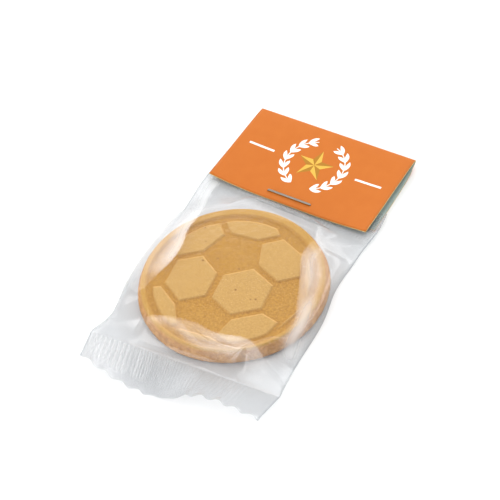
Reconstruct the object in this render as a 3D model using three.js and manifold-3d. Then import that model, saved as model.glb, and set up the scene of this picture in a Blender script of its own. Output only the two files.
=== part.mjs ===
// A round shortbread cookie embossed with a football, in a clear flow-wrap bag with a folded
// header card stapled over the bag's far end. It lies flat, cookie side up.
// Millimetres, +Z up, +Y towards the card. The origin is the middle of the cookie, on the
// surface that the pack lies on.

import * as THREE from 'three';
import { mergeVertices } from 'three/addons/utils/BufferGeometryUtils.js';
import Module from 'manifold-3d';

const wasm = await Module();
wasm.setup();

// Cookie: a pressed disc whose side spreads towards its foot
const cookieBottom = 0.45;
const cookieHeight = 3.6;
const footRadius = 23.6;
const rimRadius = 22.5;
const rimInnerRadius = 20.9;
const floorDepth = 0.75;
const footRound = 0.5;
const sideDraft = 0.15;
const shoulder = 0.25;
const rimRound = 0.35;
const cookieSides = 96;

// Stamp: the football pattern pressed into the top, a little off the cookie's middle
const stampCentre = new THREE.Vector2(0.1, -0.6);
const stampRadius = 19.5;
const ballRadius = 21.15;
const ballTurn = new THREE.Euler(0.1625, -0.144, 0.1288);
const panelHeight = 0.5;
const panelRoot = 0.5;
const panelShare = 0.945;
const panelBevel = 0.3;

// Bag: edges as x at a place along y, seen from above. Its sheets tent from the cookie's rim
const leftEdge = [[-26.9, -23.3], [-20, -23.4], [-8, -24.2], [6, -24.3], [28, -24.6], [38, -24.2]];
const rightEdge = [[-24.8, 26.3], [-18, 25.5], [0, 24.9], [9, 23.3], [20, 23.8], [29, 24.7], [38, 24]];
const nearSealLine = { middle: -25.9, slope: 1.05 };
const farSealLine = { middle: 26.4, slope: -1.7 };
const sealLength = 10.5;
const sealThickness = 0.3;
const nearSealHeight = 1.3;
const farSealHeight = 1;
const farSealSpread = 0.6;
const sideHeight = 0.5;
const endBlend = 0.6;
const undersideTuck = 6;
const tentHeight = 4.2;
const wellRadius = 23.75;
const wellFloor = 0.35;
const columns = 44;
const sealRows = 4;
const pillowRows = 20;

// Near seal: it curls, so its cut edge waves. Heights of that edge, evenly from left to right.
// Ribs are placed and sized as shares of the seal's half width, and of its length
const cutEdgeHeights = [5.8, 3.5, 1.3, 0.4, 1.8, 5.3, 6.2, 5.9, 5.4];
const cutEdgeLeft = -19.9;
const cutEdgeRight = 26.6;
const toothDepth = 0.8;
const columnsPerTooth = 4;
const ribCount = 34;
const ribReach = 0.97;
const ribWidth = 0.022;
const ribHeight = 0.15;
const ribStart = 0.06;
const ribEnd = 0.76;

// Header card: one strip folded over the bag's end, as points along its side (y, z). The leaf
// above leafSplit is the front one
const cardWidth = 46;
const cardThickness = 0.3;
const cardLength = 27.3;
const cardPath = [
  [0, 1.35], [8, 1.75], [17.5, 2.3], [25, 2.68], [27.25, 2.45], [25.8, 1.35], [23.1, 0.55],
  [19, 0.22], [13.5, 0.17], [8.5, 0.3], [5, 0.6], [2, 0.68],
];
const cardPlace = new THREE.Vector2(-0.66, 28.1);
const cardTurn = THREE.MathUtils.degToRad(-1.9);
const curveSteps = 36;
const cardSteps = 12;
const leafSplit = 1;
const flatHalfWidth = 7;
const leftCornerLift = 1.5;
const rightCornerLift = 1.1;
const backLeafTurn = 0.025;
const foldBlend = 0.15;

// Staple: a flat wire, bent through the card and the bag and clinched below
const crownLength = 12.9;
const wireThickness = 0.4;
const wireWidth = 0.6;
const crownHeight = 1.9;
const clinchHeight = 0.25;
const clinchLength = 4.2;
const bendRadius = 0.45;
const bendSteps = 5;
const staplePlace = new THREE.Vector2(-0.5, 2.5);
const stapleHoleGap = 0.1;

// Cutters stand well clear of what they cut
const cutterHeight = 10;
const cutMargin = 0.01;
const mergeDistance = 1e-4;

// Materials
const biscuit = new THREE.MeshStandardMaterial({ color: 0xd3a563, roughness: 0.85, metalness: 0 });
const clearFilm = new THREE.MeshStandardMaterial({ color: 0xe6e8ea, roughness: 0.15, metalness: 0 });
const orangeCard = new THREE.MeshStandardMaterial({ color: 0xe5833a, roughness: 0.5, metalness: 0 });
const steelWire = new THREE.MeshStandardMaterial({ color: 0x8a8a8c, roughness: 0.35, metalness: 1 });

const { lerp, clamp, smoothstep } = THREE.MathUtils;

// A closed three.js shape as a solid that can be joined and cut
function toSolid(geometry) {
  const bare = geometry.clone();
  bare.deleteAttribute('normal');
  bare.deleteAttribute('uv');
  const merged = mergeVertices(bare, mergeDistance);
  const mesh = new wasm.Mesh({
    numProp: 3,
    vertProperties: Float32Array.from(merged.attributes.position.array),
    triVerts: Uint32Array.from(merged.index.array),
  });
  return new wasm.Manifold(mesh);
}

// A joined or cut solid as a three.js shape again
function toGeometry(solid) {
  const { vertProperties, triVerts } = solid.getMesh();
  const geometry = new THREE.BufferGeometry();
  geometry.setAttribute('position', new THREE.BufferAttribute(vertProperties, 3));
  geometry.setIndex(new THREE.BufferAttribute(triVerts, 1));
  geometry.computeVertexNormals();
  return geometry;
}

// A turned shape about the Z axis from a profile of [radius, height] points
function turned(profile, sides) {
  const points = profile.map(([radius, height]) => new THREE.Vector2(radius, height));
  return new THREE.LatheGeometry(points, sides).rotateX(Math.PI / 2);
}

// A smooth function through [place, value] stations
function through(stations) {
  const places = stations.map(([place]) => place);
  const values = stations.map(([, value]) => value);
  const curve = new THREE.CubicInterpolant(places, values, 1);
  return (place) => curve.evaluate(clamp(place, places[0], places.at(-1)))[0];
}

// The outline of a strip of even thickness that follows a line of points
function stripShape(line, thickness) {
  const sides = [[], []];
  line.forEach((point, i) => {
    const before = line[Math.max(i - 1, 0)];
    const after = line[Math.min(i + 1, line.length - 1)];
    const along = after.clone().sub(before).normalize();
    const across = new THREE.Vector2(-along.y, along.x).multiplyScalar(thickness / 2);
    sides[0].push(point.clone().add(across));
    sides[1].push(point.clone().sub(across));
  });
  return new THREE.Shape([...sides[0], ...sides[1].reverse()]);
}

// The disc with its raised rim and the sunken round floor of the stamp
function cookieBody() {
  const top = cookieHeight;
  const floor = cookieHeight - floorDepth;
  const disc = toSolid(turned([
    [0, 0],
    [footRadius - 2 * footRound, 0],
    [footRadius - footRound / 3, footRound / 2],
    [footRadius, 2 * footRound],
    [footRadius - sideDraft, top / 2],
    [rimRadius + shoulder, top - 1.5 * rimRound],
    [rimRadius - rimRound / 3, top - rimRound / 3],
    [rimRadius - rimRound, top],
    [0, top],
  ], cookieSides));
  const hollow = toSolid(turned([
    [0, floor],
    [rimInnerRadius - rimRound, floor],
    [rimInnerRadius, top - rimRound],
    [rimInnerRadius + rimRound, top + cutMargin],
    [0, top + cutMargin],
  ], cookieSides)).translate([stampCentre.x, stampCentre.y, 0]);
  return disc.subtract(hollow);
}

// A football seen from above: the outlines of the hexagons that face up, a seam's width apart
function ballPanels() {
  const ball = new THREE.IcosahedronGeometry(1, 0).attributes.position;
  const turn = new THREE.Quaternion().setFromEuler(ballTurn);
  const corner = (i) => new THREE.Vector3().fromBufferAttribute(ball, i).applyQuaternion(turn);
  const panels = [];
  for (let face = 0; face < ball.count; face += 3) {
    const corners = [corner(face), corner(face + 1), corner(face + 2)];
    const hexagon = [];
    corners.forEach((from, i) => {
      const to = corners[(i + 1) % 3];
      hexagon.push(from.clone().lerp(to, 1 / 3), from.clone().lerp(to, 2 / 3));
    });
    const size = ballRadius / hexagon[0].length();
    const middle = corners[0].clone().add(corners[1]).add(corners[2]).divideScalar(3);
    if (middle.z > 0) {
      panels.push(hexagon.map((point) => {
        const inset = point.lerp(middle, 1 - panelShare).multiplyScalar(size);
        return new THREE.Vector2(inset.x, inset.y);
      }));
    }
  }
  return panels;
}

// The raised panels with sloping edges, kept inside the stamp's circle
function stampRelief() {
  const floor = cookieHeight - floorDepth;
  const field = toSolid(turned([
    [0, floor - panelRoot],
    [stampRadius, floor - panelRoot],
    [stampRadius, floor],
    [stampRadius - panelBevel, floor + panelHeight],
    [0, floor + panelHeight],
  ], cookieSides));
  const panels = ballPanels().map((outline) => {
    const panel = new THREE.ExtrudeGeometry(new THREE.Shape(outline), {
      depth: panelRoot,
      bevelEnabled: true,
      bevelThickness: panelHeight,
      bevelSize: panelBevel,
      bevelOffset: -panelBevel,
      bevelSegments: 1,
    });
    return toSolid(panel).translate([0, 0, floor - panelRoot]);
  });
  return wasm.Manifold.union(panels).intersect(field).translate([stampCentre.x, stampCentre.y, 0]);
}

const leftOfBag = through(leftEdge);
const rightOfBag = through(rightEdge);
const waves = cutEdgeHeights.length - 1;
const cutEdge = through(cutEdgeHeights.map((height, i) => [(2 * i) / waves - 1, height]));

// Where each seal's inner line runs, for a place across the bag from -1 to 1
const nearLine = (across) => nearSealLine.middle + nearSealLine.slope * across;
const farLine = (across) => farSealLine.middle + farSealLine.slope * across;
const bagX = (across, y) => lerp(leftOfBag(y), rightOfBag(y), (across + 1) / 2);

// A zigzag from 0 to 1 and back, one for each tooth of the cutting knife
function zigzag(across) {
  const place = ((across + 1) / 2) * (columns / columnsPerTooth);
  return 1 - Math.abs(2 * (place - Math.floor(place)) - 1);
}

// A point of the near seal: outward goes from 0 at the inner line to 1 at the cut edge
function nearSealPoint(across, outward, offset) {
  const rise = cutEdge(across) - nearSealHeight;
  const reach = Math.sqrt(sealLength ** 2 - rise ** 2);
  const lineY = nearLine(across);
  const x = lerp(bagX(across, lineY), lerp(cutEdgeLeft, cutEdgeRight, (across + 1) / 2), outward);
  return new THREE.Vector3(x, lineY - reach * outward, nearSealHeight + rise * outward + offset);
}

// A point of the far seal, which lies between the leaves of the card
function farSealPoint(across, outward, offset) {
  const y = farLine(across) + sealLength * outward;
  return new THREE.Vector3(bagX(across, y), y, farSealHeight + farSealSpread * across ** 2 + offset);
}

// A point of the bag's upper or lower sheet, which tents from the cookie's rim to its edges
function pillowPoint(across, along, side) {
  const y = lerp(nearLine(across), farLine(across), along);
  const x = bagX(across, y);
  const toRim = Math.max(Math.hypot(x, y) - rimRadius, 0);
  const toSide = Math.min(x - leftOfBag(y), rightOfBag(y) - x);
  const toSeal = Math.min(y - nearLine(across), farLine(across) - y);
  const toEdge = Math.max(Math.min(toSide, toSeal), 0);
  const fall = toRim > 0 ? toRim / (toRim + toEdge) : 0;
  const farEdge = farSealHeight + farSealSpread * across ** 2;
  const ends = lerp(nearSealHeight, farEdge, along);
  const nearness = smoothstep(Math.abs(2 * along - 1), endBlend, 1);
  const edge = lerp(sideHeight, ends, nearness);
  const half = sealThickness / 2;
  const upper = lerp(tentHeight, edge + half, fall);
  const lower = lerp(0, edge - half, fall ** undersideTuck);
  return new THREE.Vector3(x, y, side > 0 ? upper : lower);
}

// Upper and lower sheet as one closed block, from the near cut edge to the far one
function bagBody() {
  const rows = 2 * sealRows + pillowRows;
  const block = new THREE.BoxGeometry(2, rows, 2, columns, rows, 1);
  const positions = block.attributes.position;
  for (let i = 0; i < positions.count; i += 1) {
    const across = positions.getX(i);
    const row = Math.round(positions.getY(i) + rows / 2);
    const side = Math.sign(positions.getZ(i));
    const offset = (side * sealThickness) / 2;
    let point = pillowPoint(across, clamp((row - sealRows) / pillowRows, 0, 1), side);
    if (row <= sealRows) {
      point = nearSealPoint(across, 1 - row / sealRows, offset);
    } else if (row >= sealRows + pillowRows) {
      point = farSealPoint(across, (row - sealRows - pillowRows) / sealRows, offset);
    }
    if (row === 0 || row === rows) {
      point.y += (row === 0 ? 1 : -1) * toothDepth * (zigzag(across) - 0.5);
    }
    positions.setXYZ(i, point.x, point.y, point.z);
  }
  return toSolid(block);
}

// The crimped ribs that the heated jaws press into a seal, along the bag's length
function sealRibs(sealPoint) {
  const ribs = [];
  for (let i = 0; i < ribCount; i += 1) {
    const middle = lerp(-ribReach, ribReach, i / (ribCount - 1));
    const rib = new THREE.BoxGeometry(2, 1, 2);
    const positions = rib.attributes.position;
    for (let k = 0; k < positions.count; k += 1) {
      const across = middle + (positions.getX(k) * ribWidth) / 2;
      const outward = positions.getY(k) > 0 ? ribStart : ribEnd;
      const offset = positions.getZ(k) * (sealThickness / 2 + ribHeight);
      const point = sealPoint(across, outward, offset);
      positions.setXYZ(k, point.x, point.y, point.z);
    }
    ribs.push(toSolid(rib));
  }
  return wasm.Manifold.union(ribs);
}

// The room in the bag that the cookie fills, open at the top, where only film covers it
function cookieWell() {
  const drum = new THREE.CylinderGeometry(wellRadius, wellRadius, cutterHeight, cookieSides);
  return toSolid(drum.rotateX(Math.PI / 2)).translate([0, 0, wellFloor + cutterHeight / 2]);
}

// The folded strip of card, with its front leaf's corners sprung up and its back leaf askew
function cardBody() {
  const path = new THREE.SplineCurve(cardPath.map(([y, z]) => new THREE.Vector2(y, z)));
  const section = stripShape(path.getPoints(curveSteps), cardThickness);
  const strip = new THREE.ExtrudeGeometry(section, {
    depth: cardWidth,
    steps: cardSteps,
    bevelEnabled: false,
  });
  const positions = strip.attributes.position;
  for (let i = 0; i < positions.count; i += 1) {
    const y = positions.getX(i);
    const z = positions.getY(i);
    const x = positions.getZ(i) - cardWidth / 2;
    const fromFold = clamp(1 - y / cardLength, 0, 1);
    const sprung = Math.max(Math.abs(x) - flatHalfWidth, 0) / (cardWidth / 2 - flatHalfWidth);
    const lift = (x < 0 ? leftCornerLift : rightCornerLift) * sprung ** 2 * fromFold;
    if (z > leafSplit) {
      positions.setXYZ(i, x, y, z + lift);
    } else {
      const turnedX = x + backLeafTurn * cardLength * fromFold;
      const turnedY = y + backLeafTurn * x * smoothstep(fromFold, 0, foldBlend);
      positions.setXYZ(i, turnedX, turnedY, z);
    }
  }
  return toSolid(strip);
}

// The staple's bent wire seen from the card's near edge: clinch, leg, crown, leg, clinch
function stapleLine() {
  const reach = (crownLength - wireThickness) / 2;
  const line = new THREE.Path();
  line.moveTo(-reach + clinchLength, clinchHeight);
  line.lineTo(-reach + bendRadius, clinchHeight);
  line.absarc(-reach + bendRadius, clinchHeight + bendRadius, bendRadius, -Math.PI / 2, -Math.PI, true);
  line.absarc(-reach + bendRadius, crownHeight - bendRadius, bendRadius, Math.PI, Math.PI / 2, true);
  line.absarc(reach - bendRadius, crownHeight - bendRadius, bendRadius, Math.PI / 2, 0, true);
  line.absarc(reach - bendRadius, clinchHeight + bendRadius, bendRadius, 0, -Math.PI / 2, true);
  line.lineTo(reach - clinchLength, clinchHeight);
  return line.getPoints(bendSteps);
}

function stapleBody() {
  const wire = new THREE.ExtrudeGeometry(stripShape(stapleLine(), wireThickness), {
    depth: wireWidth,
    bevelEnabled: false,
  });
  wire.rotateX(Math.PI / 2);
  wire.translate(staplePlace.x, staplePlace.y + wireWidth / 2, 0);
  return toSolid(wire);
}

// The two holes that the staple's legs pierce, in the card's own frame
function stapleHoles() {
  const across = wireThickness + 2 * stapleHoleGap;
  const along = wireWidth + 2 * stapleHoleGap;
  const reach = (crownLength - wireThickness) / 2;
  const holes = [-1, 1].map((side) => {
    const hole = new THREE.BoxGeometry(across, along, cutterHeight);
    return toSolid(hole.translate(staplePlace.x + side * reach, staplePlace.y, 0));
  });
  return wasm.Manifold.union(holes);
}

function named(name, solid, material) {
  const mesh = new THREE.Mesh(toGeometry(solid), material);
  mesh.name = name;
  return mesh;
}

const cookie = named('cookie', cookieBody().add(stampRelief()), biscuit);
cookie.position.z = cookieBottom;

const header = new THREE.Group();
header.position.set(cardPlace.x, cardPlace.y, 0);
header.rotation.z = cardTurn;
header.updateMatrix();
header.add(named('header_card', cardBody().subtract(stapleHoles()), orangeCard));
header.add(named('staple', stapleBody(), steelWire));

const film = bagBody()
  .add(sealRibs(nearSealPoint))
  .subtract(cookieWell())
  .subtract(stapleHoles().transform(header.matrix.toArray()));
const bag = named('bag', film, clearFilm);

const pack = new THREE.Group();
pack.add(cookie, bag, header);

export default pack;
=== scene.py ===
"""A football-stamped shortbread cookie in a clear flow-wrap bag with a stapled header card.

The pack is dressed in the order it is put together: the cookie is baked, the film is wrapped
and sealed round it, the card is folded over one end, and the staple goes through both.
Lengths in the values below are millimetres in the part's own frame, and the meshes are metres.
"""
import math

import bmesh
import bpy
import numpy as np
from mathutils import Euler, Matrix, Vector, noise


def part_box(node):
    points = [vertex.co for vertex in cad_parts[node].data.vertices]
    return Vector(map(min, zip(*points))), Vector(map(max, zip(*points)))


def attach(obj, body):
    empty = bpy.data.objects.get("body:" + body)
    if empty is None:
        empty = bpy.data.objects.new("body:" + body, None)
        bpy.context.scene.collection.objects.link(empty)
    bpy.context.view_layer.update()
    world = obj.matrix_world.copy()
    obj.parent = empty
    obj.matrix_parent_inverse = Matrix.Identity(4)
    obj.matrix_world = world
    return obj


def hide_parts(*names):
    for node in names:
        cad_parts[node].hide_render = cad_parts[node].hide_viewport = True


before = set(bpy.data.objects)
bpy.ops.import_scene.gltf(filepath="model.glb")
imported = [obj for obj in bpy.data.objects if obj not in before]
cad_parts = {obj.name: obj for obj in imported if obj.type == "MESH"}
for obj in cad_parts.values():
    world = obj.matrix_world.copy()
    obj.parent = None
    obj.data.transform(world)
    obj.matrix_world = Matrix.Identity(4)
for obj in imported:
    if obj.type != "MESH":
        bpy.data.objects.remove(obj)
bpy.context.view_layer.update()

# Cookie
# A round of shortbread dough, pressed in a mould that leaves a raised rim and the hexagons of
# a football, then baked: pale gold on top and browner down the side. It lies loose in the bag.

MM = 0.001
cookie_low, cookie_high = (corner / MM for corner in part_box("cookie"))
cookie_top = cookie_high.z
cookie_bottom = cookie_low.z
foot_radius = (cookie_high.x - cookie_low.x) / 2
rim_radius = 22.5
rim_inner_radius = 20.9
rim_round = 0.35
foot_round = 0.5
floor_depth = 0.75
stamp_x, stamp_y = 0.1, -0.6
stamp_radius = 19.5
ball_radius = 21.15
ball_turn = Euler((-0.343, -0.2782, -0.194))
panel_height = 0.5
panel_share = 0.918
panel_bevel = 0.5
top_rings, side_rings, base_rings = 112, 15, 12
round_angles = np.radians([30, 60, 90])
spin_steps = 640
weld_distance = 0.0001
tolerance = 0.001


def smooth_step(low, high, value):
    """0 below low, 1 above high, and a smooth rise between them."""
    t = np.clip((value - low) / (high - low), 0, 1)
    return t * t * (3 - 2 * t)


def read_points(mesh):
    """The mesh's vertices in millimetres, one row each."""
    points = np.empty(len(mesh.vertices) * 3, np.float32)
    mesh.vertices.foreach_get("co", points)
    return points.reshape(-1, 3).astype(float)


def write_points(mesh, points):
    """Sets the vertices from millimetres, and turns the mesh's unit into metres."""
    mesh.vertices.foreach_set("co", (points * MM).astype(np.float32).ravel())
    mesh.update()


def store(mesh, name, values):
    """Keeps one number for each vertex, which a material can read by its name."""
    attribute = mesh.attributes.new(name, "FLOAT", "POINT")
    attribute.data.foreach_set("value", np.asarray(values, np.float32))


def new_piece(name, shape, sharp_angle=180):
    """An object at the origin from a bmesh, smooth but for edges above the sharp angle."""
    mesh = bpy.data.meshes.new(name)
    shape.to_mesh(mesh)
    shape.free()
    for polygon in mesh.polygons:
        polygon.use_smooth = True
    mesh.set_sharp_from_angle(angle=math.radians(sharp_angle))
    piece = bpy.data.objects.new(name, mesh)
    bpy.context.collection.objects.link(piece)
    return piece


def lumps(points, size, seed):
    """Smooth noise from -1 to 1 at each point, with lumps of that size in millimetres."""
    shift = Vector((seed, 2 * seed, 3 * seed))
    return np.array([noise.noise(Vector(point) / size + shift) for point in points])


def ball_outlines():
    """Normals and offsets of the edges of each hexagon that faces up, seen from above."""
    ball = bmesh.new()
    bmesh.ops.create_icosphere(ball, subdivisions=1, radius=1)
    bmesh.ops.rotate(ball, verts=ball.verts, matrix=ball_turn.to_matrix())
    outlines = []
    for face in ball.faces:
        corners = [vertex.co for vertex in face.verts]
        middle = face.calc_center_median()
        if middle.z <= 0:
            continue
        ring = []
        for i, corner in enumerate(corners):
            following = corners[(i + 1) % 3]
            ring += [corner.lerp(following, 1 / 3), corner.lerp(following, 2 / 3)]
        size = ball_radius / ring[0].length
        ring = [middle.lerp(point, panel_share) * size for point in ring]
        edges = []
        for i, point in enumerate(ring):
            along = (ring[(i + 1) % 6] - point).to_2d().normalized()
            out = Vector((along.y, -along.x))
            edges.append((out.x, out.y, out.dot(point.to_2d())))
        outlines.append(edges)
    ball.free()
    return outlines


def panel_rise(x, y):
    """How far the stamp's panels rise, from 0 on the floor to 1, at places from its middle."""
    rise = np.zeros_like(x)
    for edges in ball_outlines():
        outside = np.hypot(x, y) - stamp_radius
        for out_x, out_y, offset in edges:
            outside = np.maximum(outside, out_x * x + out_y * y - offset)
        rise = np.maximum(rise, smooth_step(0, panel_bevel, -outside))
    return rise


def cookie_profile():
    """The half section as [radius, height], from the middle of the top round to the bottom."""
    flat_radius = rim_radius - rim_round
    profile = [[radius, cookie_top] for radius in np.linspace(0, flat_radius, top_rings)]
    for angle in round_angles:
        profile.append([rim_radius - rim_round * (1 - math.sin(angle)),
                        cookie_top - rim_round * (1 - math.cos(angle))])
    height = cookie_top - rim_round - cookie_bottom - foot_round
    for share in np.linspace(0, 1, side_rings)[1:]:
        bulge = (foot_radius - rim_radius) * math.sin(share * math.pi / 2)
        profile.append([rim_radius + bulge, cookie_top - rim_round - share * height])
    for angle in round_angles:
        profile.append([foot_radius - foot_round * (1 - math.cos(angle)),
                        cookie_bottom + foot_round * (1 - math.sin(angle))])
    for radius in np.linspace(foot_radius - foot_round, 0, base_rings)[1:]:
        profile.append([radius, cookie_bottom])
    return profile


dough = bmesh.new()
line = [dough.verts.new((radius, 0, height)) for radius, height in cookie_profile()]
for before, after in zip(line, line[1:]):
    dough.edges.new((before, after))
bmesh.ops.spin(dough, geom=dough.verts[:] + dough.edges[:], axis=(0, 0, 1), cent=(0, 0, 0),
               angle=math.tau, steps=spin_steps, use_merge=True)
bmesh.ops.remove_doubles(dough, verts=dough.verts, dist=weld_distance)
bmesh.ops.recalc_face_normals(dough, faces=dough.faces)
cookie = new_piece("cookie_biscuit", dough)

points = read_points(cookie.data)
radius = np.hypot(points[:, 0], points[:, 1])
on_top = (points[:, 2] > cookie_top - tolerance) & (radius < rim_radius)
to_stamp = points[:, 0] - stamp_x, points[:, 1] - stamp_y
raised = panel_rise(*to_stamp) * on_top
sunk = smooth_step(rim_inner_radius + rim_round, rim_inner_radius - rim_round,
                   np.hypot(*to_stamp)) * on_top
points[:, 2] += sunk * (panel_height * raised - floor_depth)

# Baking leaves the top gently uneven and the side rough, most of all along its foot. First come
# the sizes of the lumps, then how far they stand out on each part.
swell_size, crumb_size, fine_crumb_size = 7, 0.9, 0.4
top_swell, side_swell = 0.05, 0.12
top_crumb, floor_crumb, fine_crumb_share = 0.02, 0.03, 0.6
side_crumb, foot_crumb, side_fine_crumb = 0.05, 0.12, 0.06
side_from, side_full, foot_band = 0.1, 0.9, 0.7
swell = lumps(points, swell_size, 1)
crumb = lumps(points, crumb_size, 2)
fine_crumb = lumps(points, fine_crumb_size, 3)
outer = radius > rim_radius
on_side = smooth_step(cookie_top - side_from, cookie_top - side_full, points[:, 2]) * outer
near_foot = smooth_step(cookie_bottom + foot_band, cookie_bottom, points[:, 2]) * outer
top_grit = top_crumb + floor_crumb * sunk * (1 - raised)
top_lumps = top_swell * swell + top_grit * (crumb + fine_crumb_share * fine_crumb)
points[:, 2] += on_top * top_lumps
side_grit = side_crumb + foot_crumb * near_foot
outward = on_side * (side_swell * swell + side_grit * crumb + side_fine_crumb * fine_crumb)
points[:, :2] *= (1 + outward / np.maximum(radius, 1))[:, None]

# Pinholes where bubbles broke in the oven, as [x, y, radius]
pinholes = [[-14.4, 11.2, 0.36], [-11.9, 7.3, 0.3], [-9.4, 1.7, 0.4], [-6.6, 4.1, 0.36],
            [-0.1, 3.3, 0.34], [2.6, -3.1, 0.4], [8.5, -3.7, 0.38], [7.4, -4.3, 0.28]]
pinhole_depth, pinhole_floor = 0.1, 0.3
speck = np.zeros_like(radius)
for hole_x, hole_y, hole_radius in pinholes:
    away = np.hypot(points[:, 0] - hole_x, points[:, 1] - hole_y)
    sunken = smooth_step(hole_radius, hole_radius * pinhole_floor, away) * on_top
    speck = np.maximum(speck, sunken)
points[:, 2] -= pinhole_depth * speck
write_points(cookie.data, points)
rim_paleness = 0.35
store(cookie.data, "pale", np.maximum(raised, rim_paleness * (1 - sunk)))
store(cookie.data, "coarse", np.maximum(sunk * (1 - raised), on_side))
# A highlight painted paler along the panels' far edges, the side that the light falls on
highlight_way = -0.07, 0.34
highlight_strength, highlight_narrowing = 1.2, 3
falling = raised - panel_rise(to_stamp[0] + highlight_way[0], to_stamp[1] + highlight_way[1])
painted_highlight = highlight_strength * falling * raised ** highlight_narrowing
store(cookie.data, "edge", np.clip(painted_highlight, 0, 1) * on_top)
# The pinholes, which the material paints dark: the shade in holes deeper than the dips drawn
store(cookie.data, "speck", speck)
store(cookie.data, "side", on_side)
# The foot, which the material darkens: browned there, and with painted contact shade
store(cookie.data, "foot", near_foot)


def linear(hex_colour):
    """An sRGB hex colour as Blender's linear RGBA."""
    channels = [int(hex_colour[i:i + 2], 16) / 255 for i in (1, 3, 5)]
    low = [c / 12.92 if c <= 0.04045 else ((c + 0.055) / 1.055) ** 2.4 for c in channels]
    return (*low, 1)


def per_size(size):
    """A texture's scale for a pattern of that size in millimetres, on Object coordinates."""
    return 1 / (size * MM)


def new_material(name):
    """A material of that name with an empty node tree."""
    material = bpy.data.materials.new(name)
    material.use_nodes = True
    material.node_tree.nodes.clear()
    return material


def add(material, kind, output, inputs, **settings):
    """Adds a node with its settings, values, hex colours and links, and gives one output.

    A colour mix takes its two colours at 6 and 7 and gives the mixed one at 2.
    """
    tree = material.node_tree
    node = tree.nodes.new(kind)
    for name, value in settings.items():
        setattr(node, name, value)
    for socket, value in inputs.items():
        if isinstance(value, bpy.types.NodeSocket):
            tree.links.new(value, node.inputs[socket])
        else:
            node.inputs[socket].default_value = linear(value) if isinstance(value, str) else value
    return node.outputs[output] if node.outputs else node


# Baked shortbread: dry, matt and sugary. Butter and flour bake to a pale gold, a shade deeper and
# grittier on the sunk floor, and brown down the side. Palest on the relief's far edges, a painted
# highlight, and darkest along the foot, browned there and with painted contact shade.
cloud_size, mottle_size, grain_size, grit_size = 5, 1.2, 0.48, 0.52
grain_height = 0.08
shortbread = new_material("baked_shortbread")
place = add(shortbread, "ShaderNodeTexCoord", "Object", {})
pale, coarse, edge_highlight_here, pinhole_shade_here, side_here, foot_browning_and_shade = (
    add(shortbread, "ShaderNodeAttribute", "Fac", {}, attribute_name=name)
    for name in ("pale", "coarse", "edge", "speck", "side", "foot"))
cloud = add(shortbread, "ShaderNodeTexNoise", "Fac",
            {"Vector": place, "Scale": per_size(cloud_size), "Detail": 3})
clouded = add(shortbread, "ShaderNodeMapRange", 0,
              {"Value": cloud, "From Min": 0.4, "From Max": 0.7, "To Max": 0.35})
mottle = add(shortbread, "ShaderNodeTexNoise", "Fac",
             {"Vector": place, "Scale": per_size(mottle_size), "Detail": 3})
mottle = add(shortbread, "ShaderNodeMapRange", 0,
             {"Value": mottle, "From Min": 0.36, "From Max": 0.64})
# The flat top would lie along the noise's own planes, where it fades, so the grain is turned.
# Real crumb is finer than this: it is drawn coarser, so that it shows from where the camera is.
askew = add(shortbread, "ShaderNodeMapping", 0, {"Vector": place, "Rotation": (0.6, 0.5, 0.3)})
crumbs = []
for size in (grain_size, grit_size):
    grains = add(shortbread, "ShaderNodeTexNoise", "Fac",
                 {"Vector": askew, "Scale": per_size(size), "Detail": 2, "Roughness": 0.6})
    crumbs.append(add(shortbread, "ShaderNodeMapRange", 0,
                      {"Value": grains, "From Min": 0.32, "From Max": 0.66}))
grain, grit = crumbs
side_colour = "#c98f4a"
# The side is mottled, and darker brown along its foot: browned there, and with painted contact
# shade
for share, tone in ((mottle, "#e0a862"), (foot_browning_and_shade, "#9c6630")):
    side_colour = add(shortbread, "ShaderNodeMix", 2,
                      {"Factor": share, 6: side_colour, 7: tone}, data_type="RGBA")
colour = "#ce9b3a"
# Of these, the pale mix on the panels' far edges is a painted highlight
for share, tone in ((pale, "#d1a65c"), (clouded, "#d0a24f"), (edge_highlight_here, "#f3c273"),
                    (side_here, side_colour)):
    colour = add(shortbread, "ShaderNodeMix", 2, {"Factor": share, 6: colour, 7: tone},
                 data_type="RGBA")
for share, pattern, tone in ((coarse, grit, "#e4d8c3"), (1.0, grain, "#eee9e0")):
    shaded = add(shortbread, "ShaderNodeMix", 2, {"Factor": pattern, 6: tone, 7: "#ffffff"},
                 data_type="RGBA")
    colour = add(shortbread, "ShaderNodeMix", 2, {"Factor": share, 6: colour, 7: shaded},
                 data_type="RGBA", blend_type="MULTIPLY")
# The pinholes are painted dark brown, the shade in holes deeper than the shallow dips drawn
colour = add(shortbread, "ShaderNodeMix", 2, {"Factor": pinhole_shade_here, 6: colour, 7: "#94642a"},
             data_type="RGBA")
crumb_bump = add(shortbread, "ShaderNodeBump", 0,
                 {"Height": grain, "Strength": 0.5, "Distance": grain_height * MM})
biscuit_surface = add(shortbread, "ShaderNodeBsdfPrincipled", 0,
                      {"Base Color": colour, "Roughness": 0.82, "Specular IOR Level": 0.3,
                       "Normal": crumb_bump})
add(shortbread, "ShaderNodeOutputMaterial", 0, {"Surface": biscuit_surface})
cookie.data.materials.append(shortbread)
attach(cookie, "root")
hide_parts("cookie")

# Bag
# A tube of clear polypropylene film, drawn flat round the cookie and crimped shut at both ends
# between heated ribbed jaws, which leave the ribs. A knife cuts the ends in small scallops.

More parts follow.
